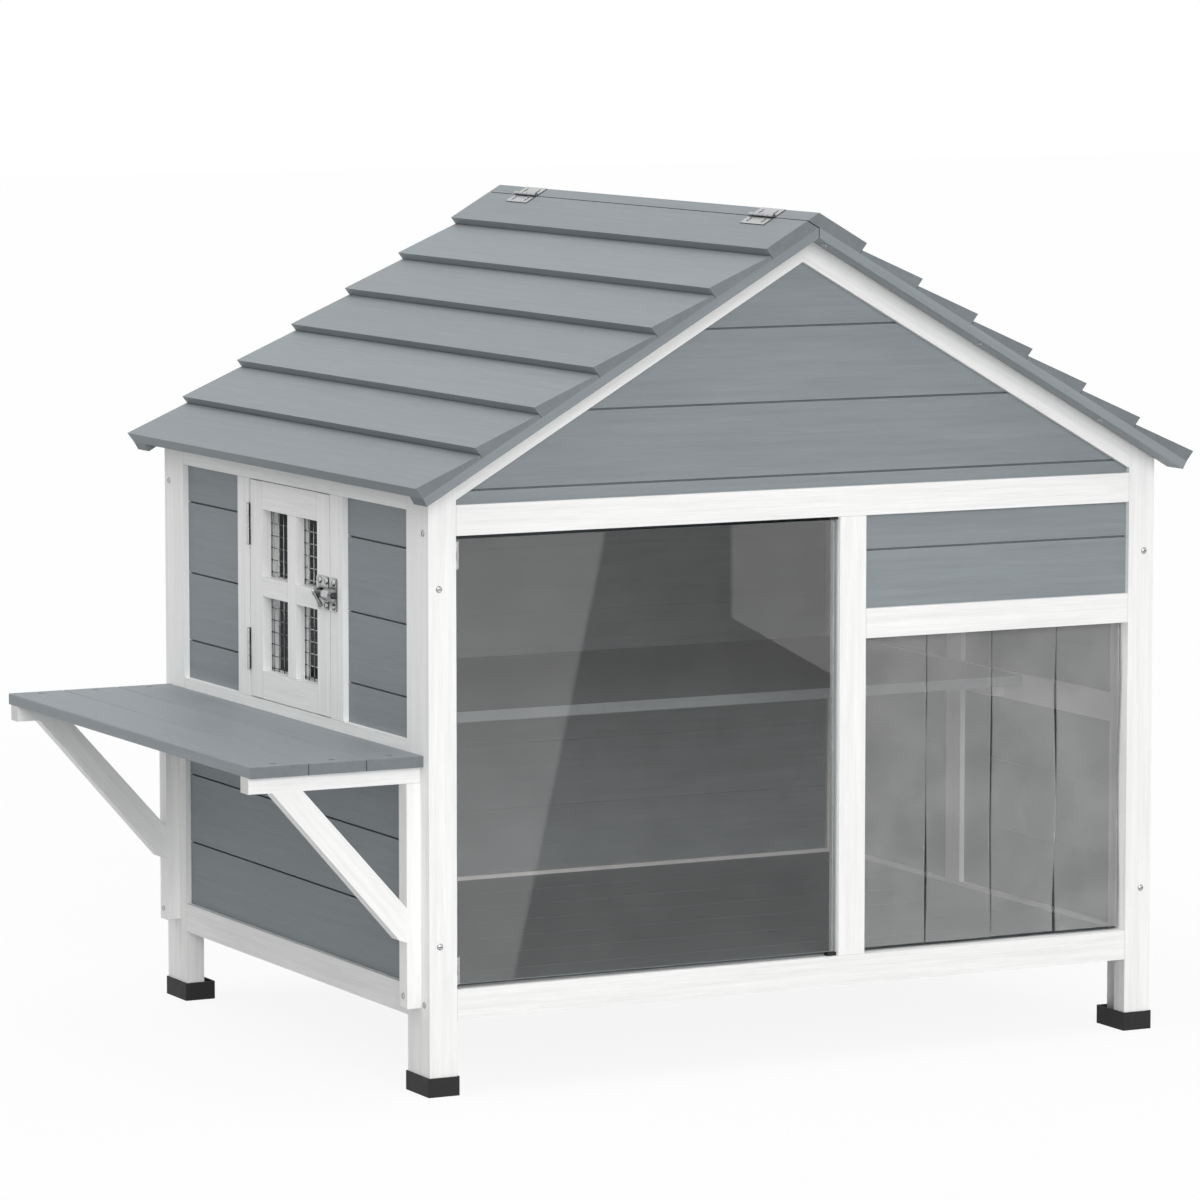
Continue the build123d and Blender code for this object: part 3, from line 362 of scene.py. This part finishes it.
MATERIALS = {
    "white_paint": painted_wood(
        "white_painted_wood",
        WHITE_PAINT,
        grain=0.06,
        mottle=0.012,
        boards=0.008,
        rough=0.5,
        relief=0.7,
    ),
    "grey_paint": painted_wood(
        "grey_painted_wood",
        GREY_PAINT,
        grain=0.06,
        mottle=0.06,
        boards=0.02,
        rough=0.55,
        relief=0.4,
    ),
    "roof_paint": painted_wood(
        "grey_painted_roof",
        GREY_PAINT,
        grain=0.06,
        mottle=0.06,
        boards=0.05,
        rough=0.52,
        relief=0.4,
    ),
    "steel": zinc_steel(),
    "dark_plastic": moulded_plastic(),
    "clear_pane": clear_sheet(
        "clear_pane",
        PANE_TINT,
        PANE_HAZE,
        haze_share=0.02,
        gloss=0.015,
        ior=1.36,
        ripple=0.01,
        ripple_scale=6.0,
    ),
    "clear_strip": clear_sheet(
        "clear_strip",
        STRIP_TINT,
        STRIP_HAZE,
        haze_share=0.15,
        gloss=0.06,
        ior=1.4,
        ripple=0.03,
        ripple_scale=25.0,
    ),
}

# Grain: each timber of a CAD node gets its own direction and tone
POINT_DECIMALS = 5
NODE_TONES = 7
TONE_STEP = 0.618034
FACES_PER_EDGE = 2


def timbers(mesh):
    """Groups a mesh's faces into its separate solids.

    Solids that touch share edges with each other, and those edges don't join them.
    """
    places = {}
    point_of = []
    for vertex in mesh.vertices:
        key = tuple(round(c * 10**POINT_DECIMALS) for c in vertex.co)
        point_of.append(places.setdefault(key, len(places)))
    faces_at = {}
    for face in mesh.polygons:
        points = [point_of[v] for v in face.vertices]
        for i, point in enumerate(points):
            edge = frozenset((point, points[i - 1]))
            faces_at.setdefault(edge, []).append(face.index)
    group = list(range(len(mesh.polygons)))

    def root(face):
        while group[face] != face:
            group[face] = group[group[face]]
            face = group[face]
        return face

    for faces in faces_at.values():
        if len(faces) == FACES_PER_EDGE:
            group[root(faces[0])] = root(faces[1])
    found = {}
    for face in mesh.polygons:
        found.setdefault(root(face.index), []).append(face.index)
    return list(found.values())


def long_direction(points):
    """The direction in which a solid's points spread furthest."""
    points = np.unique(np.array(points).round(POINT_DECIMALS), axis=0)
    _, _, axes = np.linalg.svd(points - points.mean(axis=0))
    return axes[0]


def store_grain(mesh, number):
    """Writes each timber's direction, its two ends along it and its tone on its faces."""
    grain = mesh.attributes.new("grain", "FLOAT_VECTOR", "FACE")
    span = mesh.attributes.new("span", "FLOAT_VECTOR", "FACE")
    for i, faces in enumerate(timbers(mesh)):
        points = [mesh.vertices[v].co for f in faces for v in mesh.polygons[f].vertices]
        direction = long_direction(points)
        lengths = [Vector(direction).dot(point) for point in points]
        tone = (number * NODE_TONES + i) * TONE_STEP % 1.0
        for face in faces:
            grain.data[face].vector = direction
            span.data[face].vector = (min(lengths), max(lengths), tone)


# CAD nodes, with the material of their slot
SIDEWAYS = 0.5


def clad_node(number, name, slot):
    """Gives a CAD node its slot's material, and its grain if it is painted wood."""
    mesh = nodes[name].data
    mesh.materials.clear()
    mesh.materials.append(MATERIALS[slot])
    mesh.polygons.foreach_set("material_index", [0] * len(mesh.polygons))
    if slot.endswith("paint"):
        store_grain(mesh, number)


def light_pane_edges():
    """Gives the pane's narrow faces their own look, a painted glow."""
    mesh = nodes["window_pane"].data
    mesh.materials.append(painted_edge_glow())
    for face in mesh.polygons:
        face.material_index = int(abs(face.normal.y) <= SIDEWAYS)


slots = {part["node"]: part["material_slot"] for part in frame["record"]["subparts"]}
for number, name in enumerate(sorted(nodes)):
    clad_node(number, name, slots[name])
light_pane_edges()


# New pieces
def new_piece(name, shape, material):
    """An object made of a bmesh, with a material."""
    mesh = bpy.data.meshes.new(name)
    shape.to_mesh(mesh)
    shape.free()
    mesh.materials.append(material)
    piece = bpy.data.objects.new(name, mesh)
    bpy.context.scene.collection.objects.link(piece)
    return piece


# Entrance curtain: soft clear strips that hang a little wavy. Rows are closer near the
# top, where a strip bends. A wave is given by its length down a strip, in radians, and
# by how much of the strip's own turn it starts with.
STRIP_COUNT = 4
STRIP_COLUMNS = 12
STRIP_ROWS = 56
ROW_CROWDING = 1.4
STRIP_THICK = 0.0018
STRIP_HELD = 0.2
STRIP_SWAY = 0.0012
STRIP_CURL = 0.0011
STRIP_NARROWING = 0.018
STRIP_TURN = 2.4
SWAY_WAVE = (7.0, 1.0)
CURL_WAVE = (9.0, 1.7)
NARROW_WAVE = (11.0, 2.3)


def along_wave(wave, down, turn):
    """A wave's height, from -1 to 1, at a share of the way down a strip."""
    length, start = wave
    return math.sin(length * down + start * turn)


def strip_side(shape, low, high, turn, depth):
    """One side of a strip: rows of points that sway along it and curl at its edges."""
    middle = (low + high) / 2
    front = middle.y - STRIP_THICK / 2
    grid = []
    for row in range(STRIP_ROWS + 1):
        down = (row / STRIP_ROWS) ** ROW_CROWDING
        free = min(down / STRIP_HELD, 1.0) ** 2
        sway = along_wave(SWAY_WAVE, down, turn) * STRIP_SWAY * free
        curl = along_wave(CURL_WAVE, down, turn) * STRIP_CURL * free
        pinch = (1 + along_wave(NARROW_WAVE, down, turn)) / 2
        narrow = 1 - STRIP_NARROWING * pinch * free
        line = []
        for column in range(STRIP_COLUMNS + 1):
            side = 2 * column / STRIP_COLUMNS - 1
            x = middle.x + side * (high.x - low.x) / 2 * narrow
            y = front + depth + sway + curl * side * abs(side)
            z = high.z + (low.z - high.z) * down
            line.append(shape.verts.new((x, y, z)))
        grid.append(line)
    return grid


def strip_rim():
    """Rows and columns of a strip's points, once around its rim."""
    rim = [(0, column) for column in range(STRIP_COLUMNS)]
    rim += [(row, STRIP_COLUMNS) for row in range(STRIP_ROWS)]
    rim += [(STRIP_ROWS, column) for column in range(STRIP_COLUMNS, 0, -1)]
    rim += [(row, 0) for row in range(STRIP_ROWS, 0, -1)]
    return rim


def strip_shape(low, high, turn):
    """A closed strip: two smooth sides and a sharp rim."""
    shape = bmesh.new()
    front_grid = strip_side(shape, low, high, turn, 0.0)
    back_grid = strip_side(shape, low, high, turn, STRIP_THICK)
    for row in range(STRIP_ROWS):
        for column in range(STRIP_COLUMNS):
            for grid, order in ((front_grid, 1), (back_grid, -1)):
                ring = (
                    grid[row][column],
                    grid[row + 1][column],
                    grid[row + 1][column + 1],
                    grid[row][column + 1],
                )
                shape.faces.new(ring[::order]).smooth = True
    rim = strip_rim()
    for i, (row, column) in enumerate(rim):
        next_row, next_column = rim[(i + 1) % len(rim)]
        a, b = front_grid[row][column], front_grid[next_row][next_column]
        c, d = back_grid[next_row][next_column], back_grid[row][column]
        shape.faces.new((a, b, c, d))
        for pair in ((a, b), (c, d)):
            shape.edges.get(pair).smooth = False
    return shape


def hanging_strip(number):
    """One strip of the curtain, which bends where it leaves the header."""
    low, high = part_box(f"curtain_strip_{number}")
    shape = strip_shape(low, high, number * STRIP_TURN)
    strip = new_piece(f"hanging_strip_{number}", shape, MATERIALS["clear_strip"])
    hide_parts(f"curtain_strip_{number}")
    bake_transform(strip)


for number in range(1, STRIP_COUNT + 1):
    hanging_strip(number)

# Hatch mesh: round wires, the upright ones welded to the front of the level ones
MESH_PITCH = 0.0125
MESH_COLUMNS = 12
MESH_ROWS = 15
WIRE_THICK = 0.001
WIRE_SIDES = 10


def wire(shape, centre, long, turned):
    """One straight wire, upright or turned level."""
    place = Matrix.Translation(centre)
    if turned:
        place = place @ Matrix.Rotation(math.pi / 2, 4, "X")
    bmesh.ops.create_cone(
        shape,
        cap_ends=True,
        segments=WIRE_SIDES,
        radius1=WIRE_THICK / 2,
        radius2=WIRE_THICK / 2,
        depth=long,
        matrix=place,
    )


def hatch_wires():
    """The welded mesh between the two layers of the hatch's bars."""
    low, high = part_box("hatch_mesh")
    middle = (low + high) / 2
    inset = WIRE_THICK / 2
    shape = bmesh.new()
    for i in range(MESH_COLUMNS + 1):
        centre = (low.x + inset, low.y + inset + i * MESH_PITCH, middle.z)
        wire(shape, centre, high.z - low.z, False)
    for i in range(MESH_ROWS + 1):
        centre = (high.x - inset, middle.y, low.z + inset + i * MESH_PITCH)
        wire(shape, centre, high.y - low.y, True)
    for face in shape.faces:
        face.smooth = len(face.verts) < WIRE_SIDES
    wires = new_piece("hatch_wires", shape, MATERIALS["steel"])
    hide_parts("hatch_mesh")
    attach(wires, "hatch_door")


hatch_wires()


# Stage
def lay_floor():
    """A wide floor that keeps the object's shadow."""
    bpy.ops.mesh.primitive_plane_add(size=FLOOR_SIZE)
    floor = bpy.context.object
    floor.name = "floor"
    floor.data.materials.append(pale_floor())


def studio_world():
    """A world that is seen as white and lights the object less than that."""
    tree = Tree(bpy.data.worlds.new("studio"), "ShaderNodeOutputWorld")
    level = tree.spread(tree.seen_directly(), WHOLE_RANGE, (WORLD_LEVEL, BACKGROUND_LEVEL))
    background = tree.add("ShaderNodeBackground", {"Color": WHITE, "Strength": level})
    return tree.finish(background.outputs[0])


def soft_sun(name, source, softness):
    """A sun that shines from a direction, as strongly as that vector is long."""
    light = bpy.data.lights.new(name, "SUN")
    light.energy = source.length * math.pi
    light.angle = softness
    sun = bpy.data.objects.new(name, light)
    sun.rotation_euler = source.to_track_quat("Z", "Y").to_euler()
    bpy.context.scene.collection.objects.link(sun)


lay_floor()
bpy.context.scene.world = studio_world()
soft_sun("front_sun", FRONT_SUN, FRONT_SOFTNESS)
soft_sun("top_sun", TOP_SUN, TOP_SOFTNESS)

# Camera
camera_data = bpy.data.cameras.new("camera")
camera_data.lens = CAMERA_LENS
camera_data.clip_end = CAMERA_REACH
camera = bpy.data.objects.new("camera", camera_data)
camera.location = CAMERA_PLACE
camera.rotation_euler = Euler((math.pi / 2 - CAMERA_PITCH, 0, -CAMERA_YAW))
bpy.context.scene.collection.objects.link(camera)
bpy.context.scene.camera = camera

# Cards for the reflections in the window. Each is placed by the corners of its
# reflection in the photograph.
CARD_Y = -0.62
CARD_LEVEL = 2.4
LEFT_BAND = ((440, 480), (618, 478), (505, 1025), (440, 1025))
RIGHT_PATCH = ((733, 470), (860, 470), (860, 690), (733, 618))


def reflected_point(pixel):
    """Where the window's reflection at a pixel of the photograph comes from."""
    scale = camera_data.sensor_width / CAMERA_LENS / IMAGE_SIZE
    x = (pixel[0] - IMAGE_SIZE / 2) * scale
    y = (IMAGE_SIZE / 2 - pixel[1]) * scale
    ray = camera.rotation_euler.to_matrix() @ Vector((x, y, -1))
    pane_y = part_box("window_pane")[0].y
    start = camera.location
    on_pane = start + ray * ((pane_y - start.y) / ray.y)
    mirrored = Vector((ray.x, -ray.y, ray.z))
    return on_pane + mirrored * ((CARD_Y - pane_y) / mirrored.y)


def reflection_card(name, corners):
    """A bright card in front of the house that only glossy rays meet."""
    shape = bmesh.new()
    shape.faces.new([shape.verts.new(reflected_point(corner)) for corner in corners])
    card = new_piece(name, shape, glow(name, CARD_LEVEL))
    card.visible_camera = False
    card.visible_diffuse = False
    card.visible_transmission = False
    card.visible_shadow = False


reflection_card("left_band_card", LEFT_BAND)
reflection_card("right_patch_card", RIGHT_PATCH)

bpy.context.scene.view_settings.view_transform = "Standard"
